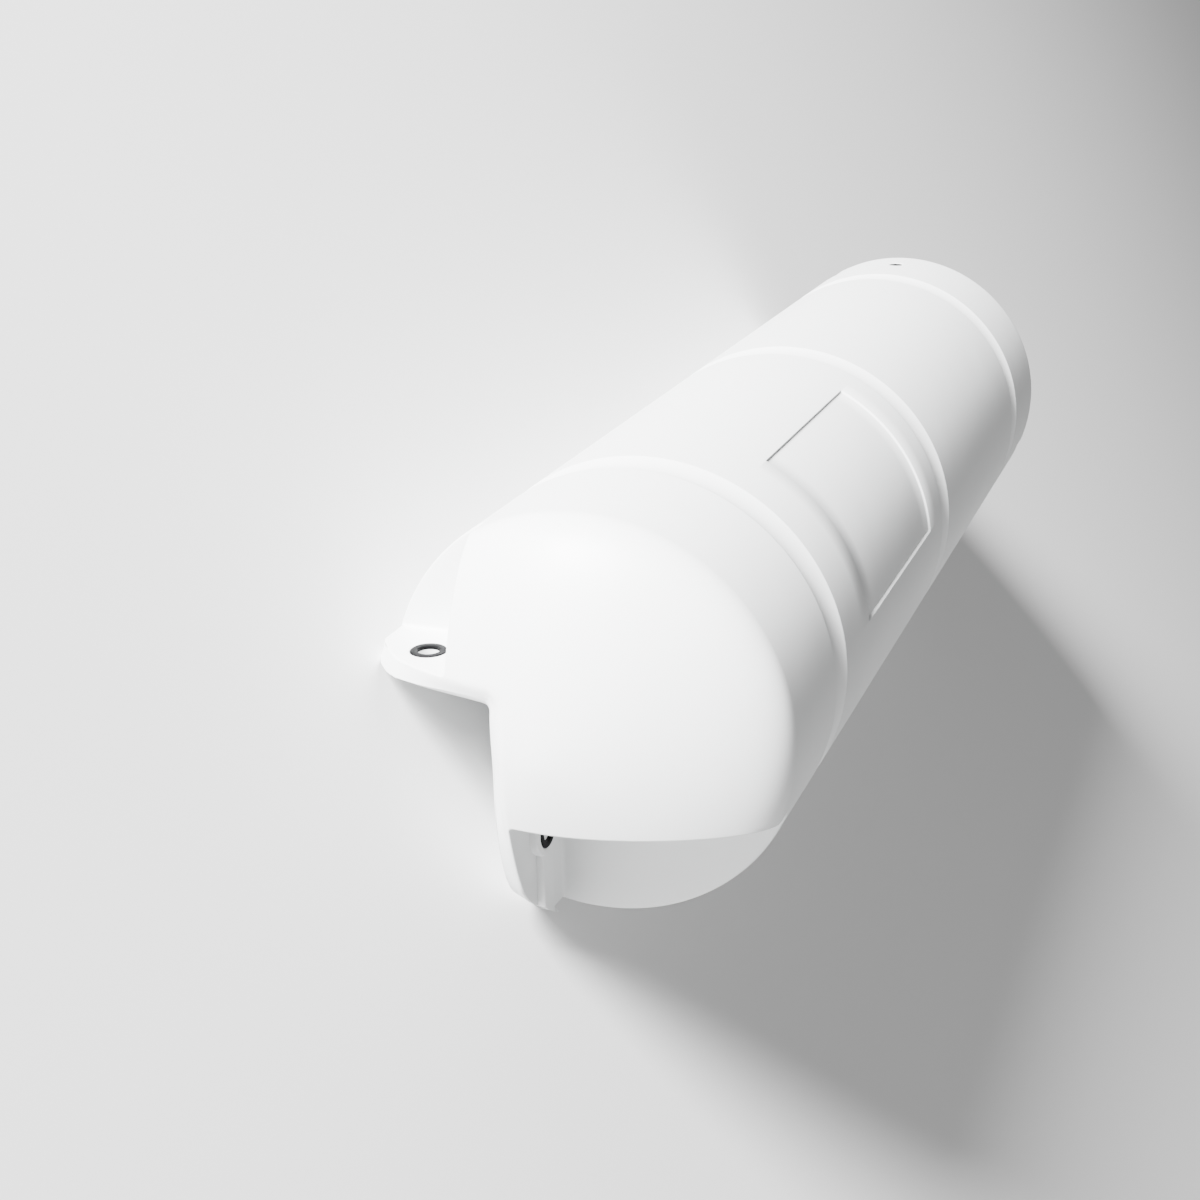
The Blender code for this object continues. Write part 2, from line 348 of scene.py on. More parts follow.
def spread_angles(section):
    """Angles about the centre, closer together where the end section's outline turns.

    A fine outline is walked, each step adds its length and its turning to a running sum, and
    the angles are read off at equal parts of that sum.
    """
    s = sizes()
    fine = np.linspace(-math.pi, math.pi, FINE_STEPS + 1)[:-1]
    reach = section.reach(section.end, fine)
    y = section.centre[0] + reach * np.cos(fine)
    z = section.centre[1] + reach * np.sin(fine)
    dy, dz = np.roll(y, -1) - y, np.roll(z, -1) - z
    heading = np.arctan2(dz, dy)
    turning = np.abs((np.roll(heading, -1) - heading + math.pi) % (2 * math.pi) - math.pi)
    body_angle = np.arctan2(z, y) % (2 * math.pi)
    on_round = np.hypot(y, z) > s.radius - ON_ROUND
    panel = np.zeros(FINE_STEPS)
    for edge in (s.panel_top, s.panel_bottom):
        near = np.abs(body_angle - edge) < PANEL_SLOPE / s.radius
        panel += np.where(near & on_round, np.hypot(dy, dz) / PANEL_SPACING, 0.0)
    weight = np.hypot(dy, dz) / OUTLINE_SPACING + turning / OUTLINE_TURN + panel
    total = np.concatenate([[0.0], np.cumsum(weight)])
    count = int(round(total[-1]))
    wanted = (np.arange(count) + 0.5) * total[-1] / count
    return np.interp(wanted, total, np.append(fine, math.pi))


FINE_STEPS = 24000
OUTLINE_SPACING = 0.0034
OUTLINE_TURN = math.radians(8)
PANEL_SLOPE = 0.0006       # half width of the slope round the panel
PANEL_SPACING = 0.0003
ON_ROUND = 1e-4            # how close to the round face a point counts as on it


def dome_x(y, z):
    """Height of a dome above the fender's middle.

    A superellipse turned about X, depth * (1 - (out / radius) ^ power) ^ (1 / power), leans to
    the dock. Near its rim a parabola, X rising with the square root of the depth below the round
    face, takes over where the two share their slope. The dome falls back along the notch and at
    the tabs' outer corners.
    """
    s = sizes()
    out = np.hypot(y, z)
    deep = np.clip(s.radius - out, 0.0, s.radius)
    bulge = s.dome_depth * (1.0 - np.clip(out / s.radius, 0.0, 1.0) ** s.dome_power) ** (1.0 / s.dome_power)
    share = s.rim_ease / s.dome_depth
    rest = 1.0 - share**s.dome_power
    meet = s.radius * (1.0 - rest ** (1.0 / s.dome_power))
    slope = s.radius / s.dome_depth * share ** (s.dome_power - 1.0) * rest ** (1.0 / s.dome_power - 1.0)
    before = 2.0 * meet / slope - s.rim_ease
    bulge = np.where(deep < meet, np.sqrt(deep / meet) * (before + s.rim_ease) - before, bulge)
    height = s.dome_start + bulge + s.dome_lean * (y - z)
    return height - notch_fall(y, z) - corner_fall(y, z, deep)


def notch_fall(y, z):
    """How far a dome falls back near the notch.

    Beside the notch it is a constant share and a bell curve along Z round FALL_Z. Above the
    notch it fades out along Y. The two mix smoothly across the notch's corner, and both fade
    out away from the notch's faces.
    """
    s = sizes()
    away = np.hypot(np.maximum(s.notch_y - y, 0.0), np.maximum(z - s.notch_z, 0.0))
    bell = np.exp(-(((z - FALL_Z) / FALL_SPREAD) ** 2))
    beside = s.fall_side * (FALL_SHARE + (1.0 - FALL_SHARE) * bell)
    above = s.fall_top * smooth_step(FALL_END, FALL_START, y)
    over = smooth_step(-FALL_MIX, FALL_MIX, (y - s.notch_y) + (z - s.notch_z))
    return (beside * (1.0 - over) + above * over) * smooth_step(FALL_WIDTH, 0.0, away)


def corner_fall(y, z, deep):
    """How far a dome falls back at the tabs' outer corners; deep is the depth below the round face."""
    s = sizes()
    tab_z, tab_y = s.notch_z + s.tab, s.notch_y - s.tab
    on_top = smooth_step(tab_z + CORNER_TOP_FADE, tab_z, z) * smooth_step(0.0, CORNER_REACH, y)
    on_side = smooth_step(tab_y - 2 * CORNER_SIDE_FADE, tab_y - CORNER_SIDE_FADE, y)
    on_side = on_side * smooth_step(0.0, CORNER_REACH, -z)
    top = s.corner_top * smooth_step(CORNER_TOP_WIDTH, 0.0, deep)
    side = s.corner_side * smooth_step(CORNER_SIDE_WIDTH, 0.0, deep)
    return on_top * top + on_side * side


FALL_Z = -0.010            # height at which a dome falls back most beside the notch
FALL_SPREAD = 0.028
FALL_SHARE = 0.4           # share of that fall which stays all along the notch
FALL_START = 0.045         # where the fall above the notch starts to fade, along Y
FALL_END = 0.105           # where it has faded out
FALL_MIX = 0.010           # half width of the band round the notch's corner where the falls mix
FALL_WIDTH = 0.014         # distance from the notch's faces at which the falls end
CORNER_TOP_WIDTH = 0.024   # depth below the round face at which a corner's fall ends
CORNER_SIDE_WIDTH = 0.032
CORNER_TOP_FADE = 0.004    # width of the band beside a tab's pocket face where the fall fades
CORNER_SIDE_FADE = 0.006
CORNER_REACH = 0.06        # distance from the fender's axis at which a corner's fall is whole


def groove_sunk(x):
    """Depth of the three ring grooves at x: circular arcs across their width."""
    s = sizes()
    half = s.groove_width / 2
    arc_radius = (half**2 + s.groove_depth**2) / (2 * s.groove_depth)
    sunk = np.zeros_like(x)
    for place in (-s.groove_pitch, 0.0, s.groove_pitch):
        off = np.clip(np.abs(x - place), 0.0, half)
        sunk = np.maximum(sunk, np.sqrt(arc_radius**2 - off**2) - (arc_radius - s.groove_depth))
    return sunk


def panel_sunk(x, y, z):
    """Depth of the recessed panel on the water side, with a short slope all round."""
    s = sizes()
    body_angle = np.arctan2(z, y) % (2 * math.pi)
    along = smooth_step(-PANEL_SLOPE, PANEL_SLOPE, x - s.panel_start)
    along *= smooth_step(-PANEL_SLOPE, PANEL_SLOPE, s.panel_end - x)
    around = smooth_step(-PANEL_SLOPE, PANEL_SLOPE, (body_angle - s.panel_top) * s.radius)
    around *= smooth_step(-PANEL_SLOPE, PANEL_SLOPE, (s.panel_bottom - body_angle) * s.radius)
    return s.panel_depth * along * around


def middle_stations(edge):
    """Places along X between the end walls' roundings, close together at grooves and panel edges."""
    s = sizes()
    half_groove = s.groove_width / 2 * np.array(HALF_GROOVE_STEPS)
    across = np.concatenate([half_groove, [0.0], -half_groove[::-1]])
    slope = PANEL_SLOPE * np.linspace(-1.0, 1.0, PANEL_SLOPE_STEPS)
    places = [-edge, edge]
    for groove in (-s.groove_pitch, 0.0, s.groove_pitch):
        places.extend(groove + across)
    for end in (s.panel_start, s.panel_end):
        places.extend(end + slope)
    places = np.sort(np.array(places))
    gaps = np.diff(places)
    filled = [np.linspace(a, b, max(int(gap / STATION_SPACING), 1) + 1)[:-1]
              for a, b, gap in zip(places[:-1], places[1:], gaps)]
    return np.append(np.concatenate(filled), places[-1])


HALF_GROOVE_STEPS = (-1.1, -1.03, -1.0, -0.96, -0.85, -0.7, -0.5, -0.25)
PANEL_SLOPE_STEPS = 6
STATION_SPACING = 0.016
CAP_ROWS = 30
EDGE_ROWS = 7
TAB_ROWS = 7
FOOT_ROWS = 4
WALL_ROWS = 5
RIM_ROWS = 3
EDGE_LENGTH = 1.45         # length of the domes' edge rounding over its depth
EDGE_SHARE = 0.6           # most of a tab's length that the edge rounding may take
END_FEET = 2               # reach of an end wall's rows to each side of it, in foot roundings
POCKET_FADE = 2.5          # pocket depth, in foot roundings, from which the wall is upright
NEAR_NOTCH = 0.0006        # how close to a notch face a point counts as on it
NEAR_ROUND = 0.004         # depth below the round face over which the edge rounding sets in


def end_rows(section, angles):
    """One end's rows from the end wall's rim to the dome's pole, as (x, y, z) arrays.

    Every row is an inset or outset of the end section's outline at its own X: out over the
    wall's rim, down the wall, round its foot, along the tabs, round the domes' edges by a
    quarter ellipse, and over the dome, whose X is a function of y and z.
    """
    s, f = sizes(), finish()
    across, up = np.cos(angles), np.sin(angles)
    cy, cz = section.centre
    outer = section.reach(section.middle, angles)
    inner = section.reach(section.end, angles)
    depth = outer - inner
    pocket = smooth_step(0.0, POCKET_FADE * f.foot, depth)

    y0, z0 = cy + inner * across, cz + inner * up
    near_round = smooth_step(0.0, NEAR_ROUND, s.radius - np.hypot(y0, z0))
    notch_face = np.minimum(np.abs(y0 - s.notch_y), np.abs(z0 - s.notch_z)) < NEAR_NOTCH
    notch_face |= (y0 > s.notch_y - NEAR_NOTCH) & (z0 < s.notch_z + NEAR_NOTCH)
    ring = np.where(notch_face, f.tab_edge, np.where(depth > ON_ROUND, f.crisp_edge, 0.0))
    ring = smoothed(ring, passes=2) * near_round
    back = smoothed(np.where(notch_face, EDGE_LENGTH * f.tab_edge, f.crisp_edge), passes=3)

    rows = []

    def add(x, reach):
        rows.append(np.stack([x + 0.0 * angles, cy + reach * across, cz + reach * up]))

    def mixed_x(wall_value, plain_value):
        return pocket * wall_value + (1.0 - pocket) * plain_value

    total = RIM_ROWS + WALL_ROWS + FOOT_ROWS
    plain = np.linspace(s.wall_x - END_FEET * f.foot, s.wall_x + END_FEET * f.foot, total + 1)
    step = 0
    rim = np.minimum(f.crisp_edge, depth / 2)
    for k in range(RIM_ROWS):
        turn = math.pi / 2 * k / RIM_ROWS
        x = s.wall_x - f.crisp_edge * (1.0 - math.sin(turn))
        add(mixed_x(x, plain[step]), outer - rim * (1.0 - math.cos(turn)))
        step += 1
    outset = section.reach(section.end, angles, level=f.foot)
    lowest = np.minimum(outset, outer - rim)
    for k in range(WALL_ROWS):
        part = k / WALL_ROWS
        add(mixed_x(s.wall_x, plain[step]), (outer - rim) * (1.0 - part) + lowest * part)
        step += 1
    for k in range(FOOT_ROWS + 1):
        turn = math.pi / 2 * k / FOOT_ROWS
        level = f.foot * (1.0 - math.sin(turn))
        x = s.wall_x + f.foot * (1.0 - math.cos(turn))
        reach = np.minimum(section.reach(section.end, angles, level=level), outer - rim)
        add(mixed_x(x, plain[step]), reach)
        step += 1
    start = rows[-1][0]
    edge_x = dome_x(y0, z0)
    back = np.minimum(back, EDGE_SHARE * (edge_x - start))
    for k in range(1, TAB_ROWS):
        part = k / TAB_ROWS
        add(start * (1.0 - part) + (edge_x - back) * part, inner)
    for k in range(EDGE_ROWS + 1):
        turn = math.pi / 2 * k / EDGE_ROWS
        level = -ring * (1.0 - math.cos(turn))
        reach = section.reach(section.end, angles, level=level)
        y, z = cy + reach * across, cz + reach * up
        rows.append(np.stack([dome_x(y, z) - back * (1.0 - math.sin(turn)), y, z]))
    inset = section.reach(section.end, angles, level=-ring)
    for k in range(1, CAP_ROWS):
        turn = math.pi / 2 * (1.0 - k / CAP_ROWS)
        part = math.sin(turn) ** (2.0 / s.dome_power)
        y, z = cy + part * inset * across, cz + part * inset * up
        rows.append(np.stack([dome_x(y, z), y, z]))
    return np.array(rows)


def smoothed(values, passes):
    """Values round the outline, each averaged with its two neighbours a few times."""
    for _ in range(passes):
        values = (np.roll(values, 1) + 2.0 * values + np.roll(values, -1)) / 4.0
    return values


def skin_surface():
    """Points and faces of the moulded body: rows of its outline from one dome's pole to the other's."""
    s, f = sizes(), finish()
    section = Section()
    angles = spread_angles(section)
    across, up = np.cos(angles), np.sin(angles)
    stations = middle_stations(s.wall_x - END_FEET * f.foot - f.foot)
    sunk = groove_sunk(stations)[:, None]
    x = stations[:, None] + 0.0 * angles
    plain = section.reach(section.middle, angles[None, :], sunk=sunk)
    y, z = section.centre[0] + plain * across, section.centre[1] + plain * up
    on_round = np.hypot(y, z) > s.radius - sunk - NEAR_MIDDLE
    sunk = sunk + np.where(on_round, panel_sunk(x, y, z), 0.0)
    reach = section.reach(section.middle, angles[None, :], sunk=sunk)
    middle = np.stack([x, section.centre[0] + reach * across, section.centre[1] + reach * up], axis=1)
    far = end_rows(section, angles)
    near = far[::-1].copy()
    near[:, 0] *= -1.0
    rows = np.concatenate([near, middle, far])
    grid = np.moveaxis(rows, 1, 2)
    count, around = grid.shape[:2]
    tip = dome_x(section.centre[0], section.centre[1])
    poles = np.array([[-tip, *section.centre], [tip, *section.centre]])
    points = np.concatenate([grid.reshape(-1, 3), poles])
    return points, closed_grid(count, around)


NEAR_MIDDLE = 0.0004       # how close to the round face a point lies that the panel may sink


def closed_grid(rows, around):
    """Faces of a tube of rows x around points; the two points after them close its ends as poles."""
    first_pole, last_pole = rows * around, rows * around + 1
    i, j = np.meshgrid(np.arange(rows - 1), np.arange(around), indexing="ij")
    j_next = (j + 1) % around
    quads = np.stack(
        [i * around + j, i * around + j_next, (i + 1) * around + j_next, (i + 1) * around + j], axis=-1
    )
    ring = np.arange(around)
    ring_next = (ring + 1) % around
    last = (rows - 1) * around
    first_fan = np.stack([ring_next, ring, np.full(around, first_pole)], axis=1)
    last_fan = np.stack([last + ring, last + ring_next, np.full(around, last_pole)], axis=1)
    return quads.reshape(-1, 4).tolist() + first_fan.tolist() + last_fan.tolist()


def axis_frame(axis):
    """Two directions square to axis, so that side x other points along it."""
    axis = np.array(axis, float)
    side = np.array([1.0, 0.0, 0.0])
    return side, np.cross(axis, side), axis


def turned_solid(profile, centre, axis, steps):
    """Radius and height pairs from the low pole to the high one, turned about an axis through centre.

    The first and last pairs lie on the axis. point = centre + radius (cos t side + sin t other)
    + height axis.
    """
    side, other, axis = axis_frame(axis)
    profile = np.array(profile, float)
    turn = np.linspace(0.0, 2.0 * math.pi, steps, endpoint=False)[None, :, None]
    rows = profile[1:-1]
    points = rows[:, 0][:, None, None] * (np.cos(turn) * side + np.sin(turn) * other)
    points = points + rows[:, 1][:, None, None] * axis + np.array(centre)
    poles = np.array(centre) + profile[[0, -1], 1][:, None] * axis
    points = np.concatenate([points.reshape(-1, 3), poles])
    return points, closed_grid(len(rows), steps)


def turned_ring(profile, centre, axis, steps):
    """A closed loop of radius and height pairs, turned about an axis through centre.

    The loop runs so that the surface faces out: up the bore, over the top and down the outside.
    """
    side, other, axis = axis_frame(axis)
    profile = np.array(profile, float)
    turn = np.linspace(0.0, 2.0 * math.pi, steps, endpoint=False)[None, :, None]
    points = profile[:, 0][:, None, None] * (np.cos(turn) * side + np.sin(turn) * other)
    points = points + profile[:, 1][:, None, None] * axis + np.array(centre)
    count = len(profile)
    i, j = np.meshgrid(np.arange(count), np.arange(steps), indexing="ij")
    i_next, j_next = (i + 1) % count, (j + 1) % steps
    quads = np.stack(
        [i * steps + j, i_next * steps + j, i_next * steps + j_next, i * steps + j_next], axis=-1
    )
    return points.reshape(-1, 3), quads.reshape(-1, 4).tolist()


def arc(centre, radius, start, stop, steps):
    """Pairs on a circle from start to stop, in degrees."""
    turn = np.radians(np.linspace(start, stop, steps + 1))
    return list(zip(centre[0] + radius * np.cos(turn), centre[1] + radius * np.sin(turn)))


def joined(body, tool, operation):
    """Apply one Boolean to the body's mesh and take the tool away; a lost body stops the script."""
    step = body.modifiers.new("joined", "BOOLEAN")
    step.operation = operation
    step.solver = "MANIFOLD"
    step.object = tool
    depsgraph = bpy.context.evaluated_depsgraph_get()
    result = bpy.data.meshes.new_from_object(body.evaluated_get(depsgraph))
    if len(result.polygons) < len(body.data.polygons) // 2:
        raise RuntimeError(f"the Boolean with {tool.name} lost the body")
    old = body.data
    body.modifiers.remove(step)
    body.data = result
    bpy.data.meshes.remove(old)
    spent = tool.data
    bpy.data.objects.remove(tool)
    bpy.data.meshes.remove(spent)


# Eyelets


def eyelet_places():
    """Name, middle of the bore's outer mouth, outward axis and thickness of each eyelet."""
    s = sizes()
    front = s.notch_y - s.tab - s.boss_height
    top_z = s.notch_z + s.tab
    places = []
    for number, end in ((1, -1), (2, 1)):
        top = (end * s.eyelet_x, s.eyelet_top_y, top_z)
        side = (end * s.eyelet_x, front, s.eyelet_side_z)
        places.append((f"top_{number}", top, (0, 0, 1), s.tab))
        places.append((f"side_{number}", side, (0, -1, 0), s.tab + s.boss_height))
    return places


def eyelet_hole(mouth, axis, thickness):
    """A bore with a rounded inner mouth and a wider seat for its ring, as one turned cutter."""
    s = sizes()
    bore, seat = s.bore / 2, s.ring / 2 + RING_GAP
    profile = [(0.0, -thickness - HOLE_REACH), (bore + MOUTH_EDGE, -thickness - HOLE_REACH)]
    profile += arc((bore + MOUTH_EDGE, -thickness + MOUTH_EDGE), MOUTH_EDGE, 270, 180, ARC_STEPS)
    profile += [(bore, -RING_SEAT), (seat, -RING_SEAT)]
    profile += arc((seat + SEAT_EDGE, -SEAT_EDGE), SEAT_EDGE, 180, 90, SEAT_STEPS)
    profile += [(seat + SEAT_EDGE, HOLE_REACH), (0.0, HOLE_REACH)]
    return turned_solid(profile, mouth, axis, HOLE_STEPS)


def boss_solid(end):
    """A round boss on the lower tab's front, with a rounded rim, sunk into the tab."""
    s = sizes()
    radius, high = s.boss / 2, s.boss_height
    profile = [(0.0, -TAB_SINK), (radius, -TAB_SINK)]
    profile += arc((radius - BOSS_EDGE, high - BOSS_EDGE), BOSS_EDGE, 0, 90, ARC_STEPS)
    profile.append((0.0, high))
    centre = (end * s.eyelet_x, s.notch_y - s.tab, s.eyelet_side_z)
    return turned_solid(profile, centre, (0, -1, 0), BOSS_STEPS)


def rib_solid(end):
    """A rib from the boss down to the tab's lower end.

    Its section, a rectangle with two rounded front corners, is carried down Z; each point's X is
    held inside the dome and its distance from the fender's axis inside the round body.
    """
    s = sizes()
    half, high = s.rib / 2, s.boss_height
    section = [(-half, -TAB_SINK)]
    section += arc((-half + RIB_EDGE, high - RIB_EDGE), RIB_EDGE, 180, 90, CORNER_STEPS)
    section += [(0.0, high)]
    section += arc((half - RIB_EDGE, high - RIB_EDGE), RIB_EDGE, 90, 0, CORNER_STEPS)
    section += [(half, -TAB_SINK), (0.0, -TAB_SINK)]
    section = np.array(section)
    front = s.notch_y - s.tab
    z = np.linspace(s.eyelet_side_z, -s.radius, RIB_ROWS)[:, None]
    x = end * s.eyelet_x + section[:, 0][None, :] + 0.0 * z
    y = front - section[:, 1][None, :] + 0.0 * z
    z = z + 0.0 * x
    lowest = -np.sqrt((s.radius - END_MARGIN) ** 2 - y**2)
    z = np.maximum(z, lowest)
    limit = dome_x(y, z) - END_MARGIN
    x = end * np.minimum(end * x, limit)
    grid = np.stack([x, y, z], axis=-1)
    rows, around = grid.shape[:2]
    poles = grid[[0, -1]].mean(axis=1)
    points = np.concatenate([grid.reshape(-1, 3), poles])
    return points, closed_grid(rows, around)


def valve_hole():
    """The air valve's round recess with a rounded mouth."""
    s = sizes()
    radius = s.valve / 2
    profile = [(0.0, -s.valve_depth), (radius, -s.valve_depth)]
    profile += arc((radius + MOUTH_EDGE, -MOUTH_EDGE), MOUTH_EDGE, 180, 90, ARC_STEPS)
    profile += [(radius + MOUTH_EDGE, HOLE_REACH), (0.0, HOLE_REACH)]
    return turned_solid(profile, (s.valve_x, 0.0, s.radius), (0, 0, 1), HOLE_STEPS)


ARC_STEPS = 5
CORNER_STEPS = 4
SEAT_STEPS = 3
HOLE_STEPS = 64
BOSS_STEPS = 80
RING_STEPS = 96
RIB_ROWS = 26
PLUG_ROWS = 26
RING_GAP = 0.0003
RING_SEAT = 0.002
RING_THICKNESS = 0.0022
RING_CROWN = 0.00015
RING_EDGE = 0.0006
MOUTH_EDGE = 0.0008
SEAT_EDGE = 0.0004
HOLE_REACH = 0.012         # how far a cutter runs past the faces that it opens
TAB_SINK = 0.004           # how deep bosses and ribs start inside the tab
BOSS_EDGE = 0.0012
RIB_EDGE = 0.0015
END_MARGIN = 0.0012
SLOT_HALF = 0.001
SLOT_DEPTH = 0.002
SLOT_WALL = 0.0003         # half width of the slot's side walls
SLOT_ENDS = (0.72, 0.78)   # where the slot's ends start and stop to rise, over the plug's radius
SAME_HEIGHT = 1e-6


def ring_surface(mouth, axis):
    """A flat ring in its seat: its loop has two rounded upper corners and a slightly crowned top."""
    s = sizes()
    inner, outer = s.bore / 2, s.ring / 2
    low = -RING_SEAT + RING_GAP
    high = low + RING_THICKNESS
    loop = [(inner, low), (inner, (low + high) / 2)]
    loop += arc((inner + RING_EDGE, high - RING_EDGE), RING_EDGE, 180, 90, CORNER_STEPS)
    loop.append(((inner + outer) / 2, high + RING_CROWN))
    loop += arc((outer - RING_EDGE, high - RING_EDGE), RING_EDGE, 90, 0, CORNER_STEPS)
    loop += [(outer, low), ((inner + outer) / 2, low)]
    return turned_ring(loop, mouth, axis, RING_STEPS)


def plug_surface():
    """A round plug with a rounded rim; its top is sunk across the middle by a screwdriver slot."""
    s = sizes()
    radius = s.valve / 2 - RING_GAP
    low = -s.valve_depth + RING_GAP
    high = -RING_GAP
    rim = arc((radius - RING_EDGE, high - RING_EDGE), RING_EDGE, 0, 90, CORNER_STEPS)
    top = [(r, high) for r in np.linspace(radius - RING_EDGE, 0.0, PLUG_ROWS)[1:]]
    profile = [(0.0, low), (radius, low)] + rim + top
    points, faces = turned_solid(profile, (0.0, 0.0, 0.0), (0, 0, 1), RING_STEPS)
    on_top = points[:, 2] > high - SAME_HEIGHT
    across = smooth_step(SLOT_HALF + SLOT_WALL, SLOT_HALF - SLOT_WALL, np.abs(points[:, 1]))
    along = smooth_step(radius * SLOT_ENDS[1], radius * SLOT_ENDS[0], np.abs(points[:, 0]))
    points[:, 2] -= np.where(on_top, SLOT_DEPTH * across * along, 0.0)
    return points + np.array([s.valve_x, 0.0, s.radius]), faces


# Materials


class Value:
    """A socket in a node tree. Arithmetic on it adds Math nodes."""

    def __init__(self, surface, socket):
        self.surface = surface
        self.socket = socket

    def math(self, operation, *values):
        return self.surface.node("ShaderNodeMath", {"operation": operation}, dict(enumerate(values)))

    def __add__(self, other):
        return self.math("ADD", self, other)

    def __radd__(self, other):
        return self.math("ADD", other, self)

    def __mul__(self, other):
        return self.math("MULTIPLY", self, other)


class Surface:
    """A material with one Principled shader, built by adding nodes."""

    def __init__(self, name):
        self.material = bpy.data.materials.new(name)
        self.material.use_nodes = True
        self.tree = self.material.node_tree
        self.shader = self.tree.nodes["Principled BSDF"]

    def node(self, kind, settings, values, output=0):
        """A node of this kind with its settings set first, then its sockets' values or links."""
        made = self.tree.nodes.new(kind)
        for name, value in settings.items():
            if name == "stops":
                self.set_stops(made.color_ramp, value)
            else:
                setattr(made, name, value)
        for name, value in values.items():
            self.connect(made.inputs[name], value)
        return Value(self, made.outputs[output])

    def set_stops(self, ramp, stops):
        while len(ramp.elements) < len(stops):
            ramp.elements.new(1.0)
        for element, (place, colour) in zip(ramp.elements, stops):
            element.position = place
            element.color = colour

    def connect(self, socket, value):
        if isinstance(value, Value):
            self.tree.links.new(value.socket, socket)
        else:
            socket.default_value = value

    def object_place(self):
        return self.node("ShaderNodeTexCoord", {}, {}, output="Object")

    def noise(self, place, scale, detail):
        """Noise from 0 to 1 with scale features a metre and detail octaves."""
        values = {"Vector": place, "Scale": scale, "Detail": detail}
        return self.node("ShaderNodeTexNoise", {}, values, output="Fac")

    def ramp(self, value, low, high):
        """0 up to low, 1 from high on, straight between."""
        stops = [(low, (0, 0, 0, 1)), (high, (1, 1, 1, 1))]
        return self.node("ShaderNodeValToRGB", {"stops": stops}, {"Fac": value})

    def blend(self, factor, one, two):
        """one where factor is 0 and two where it is 1, both colours."""
        values = {0: factor, 6: one, 7: two}
        return self.node("ShaderNodeMix", {"data_type": "RGBA"}, values, output=2)

    def bump(self, height, strength, distance, under=None):
        """A normal from a height, laid over the one under it."""
        values = {"Height": height, "Strength": strength, "Distance": distance}
        if under is not None:
            values["Normal"] = under
        return self.node("ShaderNodeBump", {}, values)

    def shade(self, **values):
        """Set or link the Principled sockets named, with _ for a space."""
        for name, value in values.items():
            self.connect(self.shader.inputs[name.replace("_", " ")], value)


def tinted(colour, factor):
    """A colour with alpha, its parts times factor."""
    return tuple(part * factor for part in colour) + (1.0,)


def white_vinyl():
    """Moulded vinyl: satin, faintly cloudy, with a very fine grain and soft waves."""
    surface = Surface("moulded_vinyl")
    place = surface.object_place()
    cloud = surface.noise(place, 7.0, 4.0)
    speck = surface.noise(place, 160.0, 3.0)
    grain = surface.noise(place, 1400.0, 2.0)
    wave = surface.noise(place, 22.0, 1.0)
    colour = tuple(finish().vinyl)
    white = surface.blend(surface.ramp(cloud, 0.35, 0.7), tinted(colour, 1.0), tinted(colour, 0.965))
    soft = surface.bump(wave, 0.35, 0.0008)
    fine = surface.bump(grain, 0.30, 0.00008, under=soft)
    surface.shade(
        Base_Color=white,
        Roughness=0.34 + cloud * 0.10 + speck * 0.06,
        Normal=fine,
        Specular_IOR_Level=0.45,
    )
    return surface.material


def black_rubber():
    """Moulded rubber: near black, matt, with a fine grain and a little pale dust; on the eyelet rings the
    near black is also painted shade of the eyelets' counterbores.
    """
    surface = Surface("moulded_rubber_and_painted_shade")
    place = surface.object_place()
    cloud = surface.noise(place, 90.0, 4.0)
    grain = surface.noise(place, 2600.0, 2.0)
    colour = tuple(finish().rubber_and_shade)
    # the near-black base is also painted shade on the eyelet rings; the paler cloud is dust
    dusty_painted_shade = surface.blend(surface.ramp(cloud, 0.45, 0.8), tinted(colour, 1.0), tinted(colour, 1.6))
    surface.shade(
        Base_Color=dusty_painted_shade,
        Roughness=0.48 + cloud * 0.16,
        Normal=surface.bump(grain, 0.4, 0.00006),
        Specular_IOR_Level=0.1,
    )
    return surface.material


def floor_finish():
    """A plain pale floor."""
    surface = Surface("studio_floor")
    surface.shade(Base_Color=tinted(tuple(finish().floor), 1.0), Roughness=0.9, Specular_IOR_Level=0.1)
    return surface.material


def made_once(name, maker):
    """The named material, made when it is first needed."""
    return bpy.data.materials.get(name) or maker()


def dress(piece, material, slot, *nodes):
    """Give a piece its only material, and let it ride in place of the nodes."""
    piece.data.materials.clear()
    piece.data.materials.append(material)
    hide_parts(*nodes)
    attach(piece, "root")


# Operators


class FENDER_OT_vinyl_body(bpy.types.Operator):
    """Build the moulded body with its grooves, panel, tabs, bosses, ribs and holes"""

    bl_idname = "fender.vinyl_body"
    bl_label = "Vinyl Body"

    def execute(self, context):
        body = add_piece("vinyl_body", *skin_surface())
        for end in (-1, 1):
            joined(body, add_piece("boss", *boss_solid(end)), "UNION")
            joined(body, add_piece("rib", *rib_solid(end)), "UNION")
        for _, mouth, axis, thickness in eyelet_places():
            joined(body, add_piece("eyelet_hole", *eyelet_hole(mouth, axis, thickness)), "DIFFERENCE")
        joined(body, add_piece("valve_hole", *valve_hole()), "DIFFERENCE")
        body.data.shade_smooth()
        body.data.set_sharp_from_angle(angle=BODY_SHARP)
        dress(body, made_once("moulded_vinyl", white_vinyl), "white_vinyl", "fender_body")
        return {"FINISHED"}


class FENDER_OT_eyelet_rings(bpy.types.Operator):
    """Build the ring in each eyelet's seat"""

    bl_idname = "fender.eyelet_rings"
    bl_label = "Eyelet Rings"

    def execute(self, context):
        for name, mouth, axis, _ in eyelet_places():
            # each ring's near black also paints the shade in its eyelet's counterbore
            ring = add_piece(f"rubber_and_painted_shade_ring_{name}", *ring_surface(mouth, axis), smooth_angle=RUBBER_SHARP)
            dress(ring, made_once("moulded_rubber_and_painted_shade", black_rubber), "black_rubber", f"eyelet_ring_{name}")
        return {"FINISHED"}


